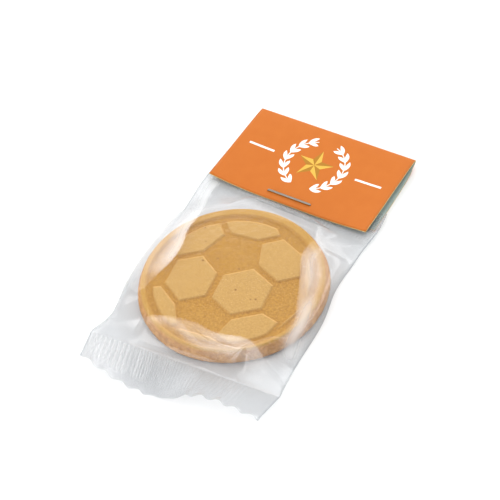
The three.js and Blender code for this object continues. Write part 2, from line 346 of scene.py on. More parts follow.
left_edge = [[-27, -24.2], [-23.5, -23.2], [-20.5, -22.8], [-16, -23.6], [-8, -24.2], [6, -24.3],
             [28, -24.6], [38, -24.2]]
right_edge = [[-24.8, 26.3], [-18, 25.5], [0, 24.9], [9, 23.3], [20, 23.8], [29, 24.7], [38, 24]]
near_seal_middle, near_seal_slope = -25.9, 1.05
far_seal_middle, far_seal_slope = 26.4, -1.7
seal_length = 10.5
film_gap = 0.12
near_seal_height = 1.3
far_seal_height = 1.0
far_seal_spread = 0.6
side_height = 0.5
bag_underside = 0.14
cut_edge_heights = [5.8, 3.5, 1.3, 0.4, 1.8, 5.3, 6.2, 5.9, 5.4]
cut_edge_left, cut_edge_right = -19.9, 26.6
tooth_depth = 0.8
teeth = 11
columns = 300
far_seal_share = 0.3
# The row of faces at each station, as [row, station]: the stations run from the near cut edge (0)
# by the seals' inner lines (1 and 2) to the far cut edge (3)
row_stops = [[0, 0], [24, 1], [80, 1.25], [130, 1.9], [148, 2], [160, 3]]


def through(stations):
    """A smooth function through [place, value] stations, level beyond both ends."""
    places, values = np.array(stations, float).T
    slopes = np.gradient(values, places)

    def value_at(place):
        held = np.clip(place, places[0], places[-1])
        i = np.clip(np.searchsorted(places, held) - 1, 0, len(places) - 2)
        step = places[i + 1] - places[i]
        t = (held - places[i]) / step
        rise = values[i + 1] - values[i]
        bend = t * (1 - t) ** 2 * slopes[i] - t * t * (1 - t) * slopes[i + 1]
        return values[i] + t * t * (3 - 2 * t) * rise + step * bend

    return value_at


def mix(low, high, share):
    """From low at a share of 0 to high at 1."""
    return low + (high - low) * share


left_of_bag = through(left_edge)
right_of_bag = through(right_edge)
cut_edge = through(list(zip(np.linspace(-1, 1, len(cut_edge_heights)), cut_edge_heights)))


def near_line(across):
    """y of the near seal's inner line, at a place from -1 on the left to 1 on the right."""
    return near_seal_middle + near_seal_slope * across


def far_line(across):
    """y of the far seal's inner line."""
    return far_seal_middle + far_seal_slope * across


def bag_x(across, y):
    """x of a place across the bag."""
    return mix(left_of_bag(y), right_of_bag(y), (across + 1) / 2)


# Over the cookie the film is drawn flat, and from a crease on each side it slopes to the edges.
# Each crease is a line through stations: x at a place along y, or y at a place along x.
left_crease = through([[-26.4, -18.9], [-10.3, -16.7], [-1, -15.3], [3, -15.7], [7, -16.8],
                       [15, -17], [21.5, -19.3], [26, -19.9]])
right_crease = through([[-26.4, 23.3], [-15.6, 22.5], [-7.2, 21.2], [-1.1, 18.7], [6.9, 15.2],
                        [12, 12.9], [17.1, 13.3], [26.6, 15.3]])
near_start = [[-23.7, -22.4], [-18.3, -22.1], [-13.1, -20.5], [-5.8, -17.8]]
near_crease = through(near_start + [[0.8, -17], [4.4, -17.5], [7.3, -17.2], [13, -16],
                                    [15.7, -16.4], [20, -18.7], [25.3, -21.4]])
second_near_crease = through(near_start + [[-3.1, -18.2], [1, -20.1], [5.6, -21], [7.3, -20.5],
                                           [12.7, -18.8], [16.7, -19], [20, -20], [25.3, -22.4]])
far_crease = through([[-24, 20], [0, 21], [24, 19]])
film_top = 5.8
film_on_rim = 0.1
off_rim_slope = 0.36
bend_softness = 0.35
# How far the film has dropped at a distance past its crease: [distance, drop]
left_drop = through([[0, 0], [2.5, 0.5], [4, 0.76], [6, 1.05], [12, 2.2]])
right_drop = through([[0, 0], [2.2, 0.36], [4, 0.62], [6, 0.95], [8, 1.3], [12, 2]])
near_drop = through([[0, 0], [12, 1.5]])
second_near_drop = through([[0, 0], [12, 1]])
far_drop = through([[0, 0], [12, 2.4]])
# Pulled folds in the film, as [x, y, x, y, height, width]
folds = [
    [-20, -22.5, -3, -17.5, 0.1, 0.9], [-4, -17.6, 4.9, -20.3, 0.16, 0.6],
    [4.9, -20.3, 20, -18.5, 0.12, 0.8], [-13, -23.5, 2, -20.5, 0.1, 0.7],
    [15, 17, 19.5, 6, 0.05, 1], [19.5, 6, 22.5, -8, 0.04, 0.9],
    [22.8, 4, 22.6, -12, 0.04, 0.8], [19.7, -16.3, 26, -24.7, 0.3, 0.8],
    [23.8, -12, 24.6, -22, 0.3, 0.6], [-19, 20, -21, 27, 0.35, 1.2],
    [-22, -14, -21, -24, 0.1, 1.2], [-6, 23.5, -8, 28, 0.2, 0.8],
    [8, 23, 9, 27.5, 0.25, 0.9], [19, 14, 23.5, 20, 0.12, 1],
    [16.5, 15, 20.5, 1, 0.02, 0.6], [18, 14, 22, -3, 0.02, 0.6],
    [19.5, 12, 22.6, 0, 0.015, 0.6], [19, 2, 22, -12, 0.025, 0.7],
    [20, 17, 22, 26, 0.12, 0.9],
]
fold_fade = -0.25, 0.2
crumple_size = 6
crumple_height = 0.05
sag_size = 7
sag_height = 0.1
# How much sooner the film stands up from its side edges, past the crease by the near seal
corner_stand = 3.5
corner_blend = -0.2, 0.4
# The power by which the film falls to the bag's edges: above, where there is little room, and
# below. Its height at the edge changes from the side's to the seal's over the last part.
tight_room = 8, 4
tight_fall, underside_fall = 7, 6
end_share = 0.6
# The film crumples where it has dropped this far, as [none, all], and off its edges
loose_drop = 0.1, 0.6
loose_from_edge = 1.5


def roof(x, y):
    """The height of the drawn film over the cookie, before it falls to the bag's edges."""
    past_left = np.maximum(left_crease(y) - x, 0)
    past_right = np.maximum(x - right_crease(y), 0)
    past_near = np.maximum(near_crease(x) - y, 0)
    past_far = np.maximum(y - far_crease(x), 0)
    past_second = np.maximum(second_near_crease(x) - y, 0)
    drops = [left_drop(past_left), right_drop(past_right), far_drop(past_far),
             near_drop(past_near) + second_near_drop(past_second)]
    return film_top - np.max(drops, axis=0)


# The gleam of the film at a distance past its left and right creases: [distance, share]
left_gleam = through([[-0.4, 0], [0.3, 1], [1.5, 1], [3, 0.7], [4.5, 0.4], [6, 0.45], [8, 0.2]])
right_gleam = through([[-0.3, 0], [0.5, 0.6], [2.5, 0.65], [4.5, 0.75], [7, 0.8], [9, 0.6]])
# Where along y those gleams fade, as [none, all]
left_gleam_near = -10, -5
right_gleam_far, right_gleam_near = (18, 11), (-22, -16)
# How far past the second near crease the gleam reaches, at places along x
near_reach = through([[-24, 3], [-13, 3], [-6, 3.8], [-3, 3.6], [1, 3], [4, 2.4], [8, 2.6],
                      [11, 4], [14, 6], [18, 8], [25, 8]])
# How soon it rises past each near crease, how it fades at its reach, and its share on the left
first_rise, second_rise = 0.8, 0.6
reach_fade = 1, 0.35
near_left_share, near_left_fade = 0.55, (-9, -2)
loose_share, loose_rise, loose_fade = 0.3, 1.5, (4, 10)
# How far inside the rim the side gleams reach their full share
left_inside_rim, right_inside_rim = 1, 1.5


def gleam(x, y):
    """How strongly the film gleams, from 0 on the flat to 1 just past its creases."""
    from_middle = np.hypot(x, y)
    left = left_gleam(left_crease(y) - x) * smooth_step(*left_gleam_near, y)
    inside = smooth_step(rim_radius, rim_radius - left_inside_rim, from_middle)
    left *= mix(loose_share, 1, inside)
    right = right_gleam(x - right_crease(y))
    right *= smooth_step(*right_gleam_far, y) * smooth_step(*right_gleam_near, y)
    right *= smooth_step(rim_radius, rim_radius - right_inside_rim, from_middle)
    past_first = near_crease(x) - y
    past_second = second_near_crease(x) - y
    near = smooth_step(0, first_rise, past_first) + smooth_step(0, second_rise, past_second)
    near *= smooth_step(*reach_fade, past_second / near_reach(x)) / 2
    near *= mix(near_left_share, 1, smooth_step(*near_left_fade, x))
    loose = loose_share * smooth_step(0, loose_rise, past_second) * smooth_step(*loose_fade, x)
    return np.max([left, right, near, loose], axis=0)


# The painted reflection's share at a distance past the left and right creases: [distance, share]
left_veil = through([[-0.3, 0], [0.4, 0.8], [2, 0.8], [3.5, 0.4], [5, 0.1]])
right_veil = through([[-0.3, 0], [0.5, 0.25], [1.5, 0.45], [2.8, 0.9], [4.2, 0.4], [7, 0.2]])
# A painted band of reflection runs down the cookie's right: its middle, as [y, x], and half width
band_middle = through([[-14, 23.2], [-8, 22.8], [0, 21.5], [7, 20.8]])
band_half_width = 1.5
band_veil, near_veil = 1.3, 0.5
# Where each painted reflection fades, as [none, all]: along y, and past the near crease along x
left_veil_near = -6, -1
right_veil_far, right_veil_near = (18, 13), (-2, 9)
band_far, band_near = (6, -4), (-17, -14)
near_veil_left, near_veil_right = (0, 8), (22, 17)
near_veil_rise, near_veil_fall = (0, 0.6), (6, 3)
# From how far outside the cookie's foot the film hangs slack, and how far within it is taut
slack_beside, taut_within = 0.8, 0.5


def reflection_veil(x, y):
    """How much a painted veil of reflected light whitens the film, from 0 to 1."""
    left = left_veil(left_crease(y) - x) * smooth_step(*left_veil_near, y)
    right = right_veil(x - right_crease(y))
    right *= smooth_step(*right_veil_far, y) * smooth_step(*right_veil_near, y)
    band = band_veil * np.exp(-((x - band_middle(y)) / band_half_width) ** 2)
    band *= smooth_step(*band_far, y) * smooth_step(*band_near, y)
    past_first = near_crease(x) - y
    near = smooth_step(*near_veil_rise, past_first) * smooth_step(*near_veil_fall, past_first)
    near *= near_veil * smooth_step(*near_veil_left, x) * smooth_step(*near_veil_right, x)
    return np.max([left, right, band, near], axis=0)


def over_cookie(x, y):
    """1 over the cookie and 0 beside it."""
    return smooth_step(foot_radius + slack_beside, foot_radius - taut_within, np.hypot(x, y))


def fold_height(x, y):
    """The height that the pulled folds add, each a ridge with a crisp crest."""
    height = np.zeros_like(x)
    for from_x, from_y, to_x, to_y, crest, width in folds:
        run = np.array([to_x - from_x, to_y - from_y])
        length = np.hypot(*run)
        along = ((x - from_x) * run[0] + (y - from_y) * run[1]) / length ** 2
        off = ((x - from_x) * run[1] - (y - from_y) * run[0]) / length
        ends = smooth_step(*fold_fade, along) * smooth_step(*fold_fade, 1 - along)
        height += crest * ends * np.exp(-np.abs(off) / width)
    return height


def crumples(x, y, size, seed):
    """Facets with crisp edges, from 0 to about 1, of that size in millimetres."""
    facets = [noise.voronoi(Vector((px / size, py / size, seed)))[0][0] for px, py in zip(x, y)]
    return np.array(facets)


def pillow(across, along, upper):
    """Points of the bag between its seals, on the upper or the lower sheet."""
    y = mix(near_line(across), far_line(across), along)
    x = bag_x(across, y)
    past_rim = np.maximum(np.hypot(x, y) - rim_radius, 0)
    to_side = np.minimum(x - left_of_bag(y), right_of_bag(y) - x)
    to_seal = np.minimum(y - near_line(across), far_line(across) - y)
    in_corner = smooth_step(*corner_blend, near_crease(x) - y)
    to_side *= 1 + (corner_stand - 1) * in_corner
    to_edge = np.maximum(np.minimum(to_side, to_seal), 0)
    room = past_rim + to_edge
    fall = past_rim / np.maximum(room, tolerance)
    far_end = far_seal_height + far_seal_spread * across ** 2
    ends = mix(near_seal_height, far_end, along)
    edge = mix(side_height, ends, smooth_step(end_share, 1, np.abs(2 * along - 1)))
    tight = smooth_step(*tight_room, room)
    crinkled = crumples(x, y, crumple_size, 4) * crumple_height
    crinkled += lumps(np.array([x, y, 0 * x]).T, sag_size, 5) * sag_height
    drawn = roof(x, y)
    loose = smooth_step(*loose_drop, film_top - drawn) * smooth_step(0, loose_from_edge, to_edge)
    top = drawn + (fold_height(x, y) + crinkled) * loose
    over_rim = cookie_top + film_on_rim - off_rim_slope * past_rim
    top = (top + over_rim + np.hypot(top - over_rim, bend_softness)) / 2
    top = mix(top, edge + film_gap / 2, fall ** mix(1, tight_fall, tight))
    bottom = mix(bag_underside, edge - film_gap / 2, fall ** underside_fall)
    return np.array([x, y, np.where(upper, top, bottom)]).T


# The jaws' ribs run along the bag. Their pitch and depth change across the seal, and on its right
# they hardly bit, so only fine pimples show: [x, pitch] and [x, depth]
rib_pitch = through([[-24, 1.12], [-11, 1.08], [-9, 0.82], [1, 0.82], [3, 0.95], [26, 0.95]])
rib_depth = through([[-24, 0.03], [-20.5, 0.09], [-12.5, 0.09], [-11.6, 0.03], [-10.6, 0.1],
                     [-1.5, 0.1], [0, 0.05], [6, 0.03], [8.5, 0.0], [26, 0.0]])
far_rib_depth = through([[-24, 0.02], [-9, 0.04], [-7, 0.12], [3, 0.12], [6, 0.04], [24, 0.02]])
rib_places = np.linspace(-30, 30, 2401)
rib_turns = np.cumsum(1 / rib_pitch(rib_places)) * (rib_places[1] - rib_places[0])
rib_from, rib_full, rib_fading, rib_to = 0, 0.06, 0.7, 0.82
rib_whitest = 0.08
pimple_height, pimples_per_mm = 0.03, 1.6
pimples_across, pimples_outward = 24, 10
pimples_from, pimple_start = (4, 9), (0, 0.1)
# The stretch of the near cut edge that curls over, so its scallops hardly show
curl_start, curl_end = (-0.3, -0.2), (0.2, 0.1)
curl_share = 0.8
scalloped_from = 0.8


def ribs(x, outward, depth):
    """The height of the crimped ribs at places across a seal and outward along it."""
    wave = np.cos(math.tau * np.interp(x, rib_places, rib_turns))
    ends = smooth_step(rib_from, rib_full, outward) * smooth_step(rib_to, rib_fading, outward)
    return depth(x) * wave * ends


def near_seal(across, outward, offset):
    """Points of the near seal, from its inner line (0) to its cut edge (1), which waves."""
    rise = cut_edge(across) - near_seal_height
    reach = np.sqrt(seal_length ** 2 - rise ** 2)
    inner_y = near_line(across)
    outer_x = mix(cut_edge_left, cut_edge_right, (across + 1) / 2)
    x = mix(bag_x(across, inner_y), outer_x, outward)
    scallop = tooth_depth / 2 * np.cos(math.tau * (across + 1) / 2 * teeth)
    curl = smooth_step(*curl_start, across) * smooth_step(*curl_end, across)
    scallop *= (1 - curl_share * curl) * smooth_step(scalloped_from, 1, outward)
    y = inner_y - reach * outward - scallop
    return np.array([x, y, near_seal_height + rise * outward + offset]).T


def far_seal(across, outward, offset):
    """Points of the far seal, which lies flat between the two leaves of the card."""
    scallop = tooth_depth / 2 * np.cos(math.tau * (across + 1) / 2 * teeth)
    scallop *= smooth_step(scalloped_from, 1, outward)
    y = far_line(across) + seal_length * outward + scallop
    height = far_seal_height + far_seal_spread * across ** 2 + offset
    return np.array([bag_x(across, y), y, height]).T


def bag_points(across, station, upper):
    """Points of the bag from the near cut edge (0) by the seals' lines (1, 2) to the far (3)."""
    offset = np.where(upper, film_gap / 2, -film_gap / 2)
    points = pillow(across, np.clip(station - 1, 0, 1), upper)
    near_out = np.clip(1 - station, 0, 1)
    near_x = bag_x(across, near_line(across))
    # Real pimples are finer: these are drawn coarser, so that they show
    spots = zip(across * pimples_across, station * pimples_outward)
    pimples = np.array([noise.noise(Vector((px, py, 0)) * pimples_per_mm) for px, py in spots])
    pimples *= smooth_step(*pimples_from, near_x) * smooth_step(*pimple_start, near_out)
    near_relief = ribs(near_x, near_out, rib_depth) + pimple_height * pimples
    near = near_seal(across, near_out, offset + near_relief)
    far_out = np.clip(station - 2, 0, 1)
    far = far_seal(across, far_out, offset + ribs(near_x, far_out, far_rib_depth))
    points = np.where((station <= 1)[:, None], near, points)
    return np.where((station >= 2)[:, None], far, points)


seal_blend = 0.03
edge_fold_band = 0.975, 0.998

film = bmesh.new()
rows = row_stops[-1][0]
bmesh.ops.create_grid(film, x_segments=columns, y_segments=rows, size=1)
bmesh.ops.solidify(film, geom=film.faces[:], thickness=0.1)
bag = new_piece("bag_film", film, sharp_angle=60)
flat = read_points(bag.data)
upper = flat[:, 2] > flat[:, 2].mean()
row_numbers, row_stations = np.array(row_stops, float).T
stations = np.interp((flat[:, 1] + 1) / 2 * rows, row_numbers, row_stations)
across = np.clip(flat[:, 0], -1, 1)
write_points(bag.data, bag_points(across, stations, upper))
near_sealed = smooth_step(1, 1 - seal_blend, stations)
far_sealed = smooth_step(2, 2 + seal_blend, stations)
store(bag.data, "sealed", np.maximum(near_sealed, far_seal_share * far_sealed))
# The rib crests, whitened where the jaws pressed and partly with a painted glint
rib_x = bag_x(across, near_line(across))
pressed = np.maximum(ribs(rib_x, np.clip(1 - stations, 0, 1), rib_depth),
                     ribs(rib_x, np.clip(stations - 2, 0, 1), far_rib_depth))
store(bag.data, "rib", np.clip(pressed / rib_whitest, 0, 1))
film_x, film_y = read_points(bag.data)[:, :2].T / MM
between_seals = (1 - near_sealed) * (1 - far_sealed)
store(bag.data, "gleam", gleam(film_x, film_y) * upper * between_seals)
# A painted veil of reflected light, whitening the film past its creases and down the cookie's
# right
store(bag.data, "reflection_veil", reflection_veil(film_x, film_y) * upper * between_seals)
store(bag.data, "slack", 1 - over_cookie(film_x, film_y))
# The folded edges, greyed in the material by painted shade
store(bag.data, "edge_fold", smooth_step(*edge_fold_band, np.abs(across)))
fixed = bmesh.new()
fixed.from_mesh(bag.data)
bmesh.ops.recalc_face_normals(fixed, faces=fixed.faces)
fixed.to_mesh(bag.data)
fixed.free()

# Cast polypropylene film, some 30 microns thick: clear, glossy and a little milky. It gleams
# where it slopes away past its creases, and there and down the cookie's right it is whitened by a
# painted veil of reflected light. It is duller where it hangs slack and greyer along its folded
# edges, a painted shade. It is whiter where the hot jaws marked it, and on the rib crests that
# white is partly a painted glint.
flat_shine, gleam_shine, slant_shine, seal_shine = 0.06, 0.21, 0.2, -0.02
slant_power = 3.0
taut_roughness, slack_roughness = 0.12, 0.12
ripple_size, ripple_height = 2.2, 0.1
taut_milk, slack_milk = 0.015, 0.035
seal_milk, rib_white_and_glint, reflection_veil_milk = 0.04, 0.17, 0.32
clear_film = new_material("clear_polypropylene_film")
film_place = add(clear_film, "ShaderNodeTexCoord", "Object", {})
sealed_here, rib_white_and_glint_here, gleam_here, reflection_veil_here, slack_here, fold_shade_here = (
    add(clear_film, "ShaderNodeAttribute", "Fac", {}, attribute_name=name)
    for name in ("sealed", "rib", "gleam", "reflection_veil", "slack", "edge_fold"))
slant = add(clear_film, "ShaderNodeLayerWeight", "Facing", {"Blend": 0.5})
steep = add(clear_film, "ShaderNodeMath", 0, {0: slant, 1: slant_power}, operation="POWER")
shine = add(clear_film, "ShaderNodeMapRange", 0,
            {"Value": gleam_here, "To Min": flat_shine, "To Max": gleam_shine})
for share, more in ((steep, slant_shine), (sealed_here, seal_shine)):
    shine = add(clear_film, "ShaderNodeMath", 0, {0: share, 1: more, 2: shine},
                operation="MULTIPLY_ADD")
dull = add(clear_film, "ShaderNodeMath", 0,
           {0: slack_here, 1: slack_roughness, 2: taut_roughness}, operation="MULTIPLY_ADD")
ripple = add(clear_film, "ShaderNodeTexNoise", "Fac",
             {"Vector": film_place, "Scale": per_size(ripple_size), "Detail": 2})
ripple_bump = add(clear_film, "ShaderNodeBump", 0,
                  {"Height": ripple, "Strength": 0.35, "Distance": ripple_height * MM})
tint = "#f8f8f9"
# Greyer where it hangs slack and where sealed, and along the folded edges a painted shade
for share, tone in ((slack_here, "#f0f1f2"), (sealed_here, "#ebeced"), (fold_shade_here, "#d9dcde")):
    tint = add(clear_film, "ShaderNodeMix", 2, {"Factor": share, 6: tint, 7: tone},
               data_type="RGBA")
clear = add(clear_film, "ShaderNodeBsdfTransparent", 0, {"Color": tint})
gloss = add(clear_film, "ShaderNodeBsdfGlossy", 0,
            {"Color": "#ffffff", "Roughness": dull, "Normal": ripple_bump})
sheet = add(clear_film, "ShaderNodeMixShader", 0, {0: shine, 1: clear, 2: gloss})
milk = add(clear_film, "ShaderNodeBsdfDiffuse", 0, {"Color": "#eeeeee"})
milkiness = add(clear_film, "ShaderNodeMapRange", 0,
                {"Value": slack_here, "To Min": taut_milk, "To Max": slack_milk})
# Whiter at the seals and rib crests, the crests partly with a painted glint, and under a painted
# veil of reflected light
for share, more in ((sealed_here, seal_milk), (rib_white_and_glint_here, rib_white_and_glint), (reflection_veil_here, reflection_veil_milk)):
    milkiness = add(clear_film, "ShaderNodeMath", 0, {0: share, 1: more, 2: milkiness},
                    operation="MULTIPLY_ADD")
film_surface = add(clear_film, "ShaderNodeMixShader", 0, {0: milkiness, 1: sheet, 2: milk})
add(clear_film, "ShaderNodeOutputMaterial", 0, {"Surface": film_surface})
bag.data.materials.append(clear_film)
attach(bag, "root")
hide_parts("bag")

# Header card
# A strip of coated board, printed outside and plain inside, folded once over the bag's far end.
# The fold is rounded, the front leaf's corners spring up and the back leaf lies a little askew.

card_width = 46
card_thickness = 0.3
card_length = 27.3
card_path = [[0, 1.35], [8, 1.75], [17.5, 2.3], [25, 2.68], [27.25, 2.45], [25.8, 1.35],
             [23.1, 0.55], [19, 0.22], [13.5, 0.17], [8.5, 0.3], [5, 0.6], [2, 0.68]]
card_x, card_y = -0.66, 28.1
card_turn = math.radians(-1.9)
leaf_split = 1
flat_half_width = 7
left_corner_lift, right_corner_lift = 1.5, 1.1
back_leaf_turn = 0.035
fold_blend = 0.6
path_steps, width_steps = 110, 60

# The strip's section is a smooth line through its path, and the print is laid along its run
place_of = np.linspace(0, 1, len(card_path))
path_y = through(list(zip(place_of, [y for y, z in card_path])))
path_z = through(list(zip(place_of, [z for y, z in card_path])))
path = np.linspace(0, 1, path_steps + 1)
run = np.hypot(np.diff(path_y(path)), np.diff(path_z(path)))
run = np.concatenate([[0], np.cumsum(run)])
fold_run = run[np.argmax(path_y(path))]


def card_point(x, y, z):
    """A point of the evenly folded strip, moved as the real card springs and lies askew."""
    from_fold = np.clip(1 - y / card_length, 0, 1)
    sprung = np.maximum(np.abs(x) - flat_half_width, 0) / (card_width / 2 - flat_half_width)
    lift = np.where(x < 0, left_corner_lift, right_corner_lift) * sprung ** 2 * from_fold
    front = z > leaf_split
    askew_y = y + back_leaf_turn * x * smooth_step(0, fold_blend, from_fold)
    moved_x = np.where(front, x, x + back_leaf_turn * card_length * from_fold)
    moved_y = np.where(front, y, askew_y)
    moved_z = np.where(front, z + lift, z)
    turned_x = moved_x * math.cos(card_turn) - moved_y * math.sin(card_turn)
    turned_y = moved_x * math.sin(card_turn) + moved_y * math.cos(card_turn)
    return np.array([turned_x + card_x, turned_y + card_y, moved_z]).T


strip = bmesh.new()
bmesh.ops.create_grid(strip, x_segments=width_steps, y_segments=path_steps, size=1)
card_map = strip.loops.layers.uv.new("card_mm")
for face in strip.faces:
    for loop in face.loops:
        share = (loop.vert.co.y + 1) / 2
        loop[card_map].uv = (loop.vert.co.x * card_width / 2,
                             np.interp(share, path, run) - fold_run)
card = new_piece("header_card_board", strip)
flat = read_points(card.data)
share = (flat[:, 1] + 1) / 2
write_points(card.data, card_point(flat[:, 0] * card_width / 2, path_y(share), path_z(share)))
thicken = card.modifiers.new("board", "SOLIDIFY")
thicken.thickness = card_thickness * MM
thicken.offset = 0
thicken.material_offset = 1
thicken.material_offset_rim = 2
thicken.use_quality_normals = True

# Coated board, printed orange in one flat ink with a white wreath, two white rules and a gold
# star: smooth, with a soft sheen. The print is worked out in millimetres across the card and from
# its fold.
wreath_y = -12.6
wreath_radius = 8
leaf_pitch, leaf_half_width, leaf_slant, leaf_middle = 2.8, 0.58, 0.42, 0.6
stem_half_width = 0.13
wreath_from, wreath_to = 0.35, 2.8
star_radius, star_notch = 5.2, 2.15
rule_near, rule_far, rule_half_width = 12, 19.5, 0.32
ink_mottle_size = 3
printed = new_material("printed_coated_board")
on_card = add(printed, "ShaderNodeUVMap", "UV", {}, uv_map="card_mm")
from_wreath = add(printed, "ShaderNodeVectorMath", 0, {0: on_card, 1: (0, -wreath_y, 0)},
                  operation="ADD")
apart = add(printed, "ShaderNodeSeparateXYZ", "X", {0: from_wreath})
print_x, print_y = apart, apart.node.outputs["Y"]
away = add(printed, "ShaderNodeVectorMath", "Value", {0: from_wreath}, operation="LENGTH")
down = add(printed, "ShaderNodeMath", 0, {0: print_y, 1: -1.0}, operation="MULTIPLY")
turn = add(printed, "ShaderNodeMath", 0, {0: print_x, 1: down}, operation="ARCTAN2")
turn = add(printed, "ShaderNodeMath", 0, {0: turn}, operation="ABSOLUTE")

# Leaves in pairs, one outside and one inside the stem, each a slanted lens shape
leaf = add(printed, "ShaderNodeMath", 0, {0: turn, 1: wreath_radius / leaf_pitch},
           operation="MULTIPLY")
leaf = add(printed, "ShaderNodeMath", 0, {0: leaf}, operation="FRACT")
leaf = add(printed, "ShaderNodeMath", 0, {0: leaf, 1: 0.5}, operation="SUBTRACT")
off_stem = add(printed, "ShaderNodeMath", 0, {0: away, 1: wreath_radius}, operation="SUBTRACT")
off_stem = add(printed, "ShaderNodeMath", 0, {0: off_stem}, operation="ABSOLUTE")
slanted = add(printed, "ShaderNodeMath", 0,
              {0: leaf, 1: -leaf_slant * leaf_pitch, 2: off_stem}, operation="MULTIPLY_ADD")
off_leaf = add(printed, "ShaderNodeMath", 0,
               {0: slanted, 1: leaf_slant * leaf_pitch * leaf_middle}, operation="SUBTRACT")
off_leaf = add(printed, "ShaderNodeMath", 0, {0: off_leaf}, operation="ABSOLUTE")
taper = add(printed, "ShaderNodeMath", 0, {0: leaf, 1: leaf}, operation="MULTIPLY")
off_leaf = add(printed, "ShaderNodeMath", 0, {0: taper, 1: 4 * leaf_half_width, 2: off_leaf},
               operation="MULTIPLY_ADD")
in_leaf = add(printed, "ShaderNodeMath", 0, {0: off_leaf, 1: leaf_half_width},
              operation="LESS_THAN")
in_stem = add(printed, "ShaderNodeMath", 0, {0: off_stem, 1: stem_half_width},
              operation="LESS_THAN")
white = add(printed, "ShaderNodeMath", 0, {0: in_leaf, 1: in_stem}, operation="MAXIMUM")
for limit, side in ((wreath_from, "GREATER_THAN"), (wreath_to, "LESS_THAN")):
    within = add(printed, "ShaderNodeMath", 0, {0: turn, 1: limit}, operation=side)
    white = add(printed, "ShaderNodeMath", 0, {0: white, 1: within}, operation="MULTIPLY")

# A white rule on each side of the wreath
side_x = add(printed, "ShaderNodeMath", 0, {0: print_x}, operation="ABSOLUTE")
in_rule = add(printed, "ShaderNodeMath", 0, {0: print_y, 1: 0.0, 2: rule_half_width},
              operation="COMPARE")
for limit, side in ((rule_near, "GREATER_THAN"), (rule_far, "LESS_THAN")):
    within = add(printed, "ShaderNodeMath", 0, {0: side_x, 1: limit}, operation=side)
    in_rule = add(printed, "ShaderNodeMath", 0, {0: in_rule, 1: within}, operation="MULTIPLY")
white = add(printed, "ShaderNodeMath", 0, {0: white, 1: in_rule}, operation="MAXIMUM")

# The star: its sector is folded onto one point, whose slanting edge bounds it
sector = math.tau / 5
# Ten whole sectors keep the turn above zero, and the half puts a point in the middle of one
sector_shift = 10.5
star_turn = add(printed, "ShaderNodeMath", 0, {0: print_x, 1: print_y}, operation="ARCTAN2")
star_turn = add(printed, "ShaderNodeMath", 0,
                {0: star_turn, 1: 1 / sector, 2: sector_shift}, operation="MULTIPLY_ADD")
star_turn = add(printed, "ShaderNodeMath", 0, {0: star_turn}, operation="FRACT")
star_turn = add(printed, "ShaderNodeMath", 0, {0: star_turn, 1: sector, 2: -sector / 2},
                operation="MULTIPLY_ADD")
up_point = add(printed, "ShaderNodeMath", 0, {0: star_turn}, operation="COSINE")
up_point = add(printed, "ShaderNodeMath", 0, {0: up_point, 1: away}, operation="MULTIPLY")
aside = star_turn
for step in ("ABSOLUTE", "SINE"):
    aside = add(printed, "ShaderNodeMath", 0, {0: aside}, operation=step)
aside = add(printed, "ShaderNodeMath", 0, {0: aside, 1: away}, operation="MULTIPLY")
edge_rise = star_notch * math.sin(sector / 2)
edge_run = star_radius - star_notch * math.cos(sector / 2)
past_edge = add(printed, "ShaderNodeMath", 0, {0: aside, 1: edge_run / edge_rise, 2: up_point},
                operation="MULTIPLY_ADD")
in_star = add(printed, "ShaderNodeMath", 0, {0: past_edge, 1: star_radius},
              operation="LESS_THAN")
lit_half = add(printed, "ShaderNodeMath", 0, {0: star_turn, 1: 0.0}, operation="GREATER_THAN")
gold = add(printed, "ShaderNodeMix", 2, {"Factor": lit_half, 6: "#a8741c", 7: "#d9ae45"},
           data_type="RGBA")

card_space = add(printed, "ShaderNodeTexCoord", "Object", {})
mottle = add(printed, "ShaderNodeTexNoise", "Fac",
             {"Vector": card_space, "Scale": per_size(ink_mottle_size), "Detail": 3})
ink = "#bd6518"
for share, tone in ((mottle, "#c36c20"), (white, "#f2f0ec"), (in_star, gold)):
    ink = add(printed, "ShaderNodeMix", 2, {"Factor": share, 6: ink, 7: tone},
              data_type="RGBA")
print_surface = add(printed, "ShaderNodeBsdfPrincipled", 0,
                    {"Base Color": ink, "Roughness": 0.5, "Specular IOR Level": 0.25})
add(printed, "ShaderNodeOutputMaterial", 0, {"Surface": print_surface})

# The board's back is matt, a cool greenish grey with a faint mottle of fibres. Its
# guillotined edge shows the cream core, a thin pale line round each leaf. For each: the fibres'
# size in millimetres and their detail, two colours and the roughness.
bare_boards = {
    "plain_grey_board": [0.5, 4, "#8d9e96", "#adbab4", 0.8],
    "cut_board_edge": [0.3, 2, "#b9a468", "#d6c48c", 0.85],
}
card.data.materials.append(printed)
for name, (size, detail, dark, light, roughness) in bare_boards.items():
    board = new_material(name)
    board_space = add(board, "ShaderNodeTexCoord", "Object", {})
    fibres = add(board, "ShaderNodeTexNoise", "Fac",
                 {"Vector": board_space, "Scale": per_size(size), "Detail": detail})
    board_colour = add(board, "ShaderNodeMix", 2, {"Factor": fibres, 6: dark, 7: light},
                       data_type="RGBA")
    board_surface = add(board, "ShaderNodeBsdfPrincipled", 0,
                        {"Base Color": board_colour, "Roughness": roughness})
    add(board, "ShaderNodeOutputMaterial", 0, {"Surface": board_surface})
    card.data.materials.append(board)
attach(card, "root")
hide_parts("header_card")

# Staple
# Flattened steel wire from an office stapler, driven through card and bag, with its legs
# clinched inwards below.

crown_length = 12.9
wire_thickness = 0.4
wire_width = 0.6
bend_radius = 0.45
staple_low, staple_high = (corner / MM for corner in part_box("staple"))
clinch_length = 4.2
crown_z = staple_high.z - wire_thickness / 2
clinch_z = staple_low.z + wire_thickness / 2
bend_steps = 8
wire_sides = 16
line_length, line_pitch = 4, 0.08

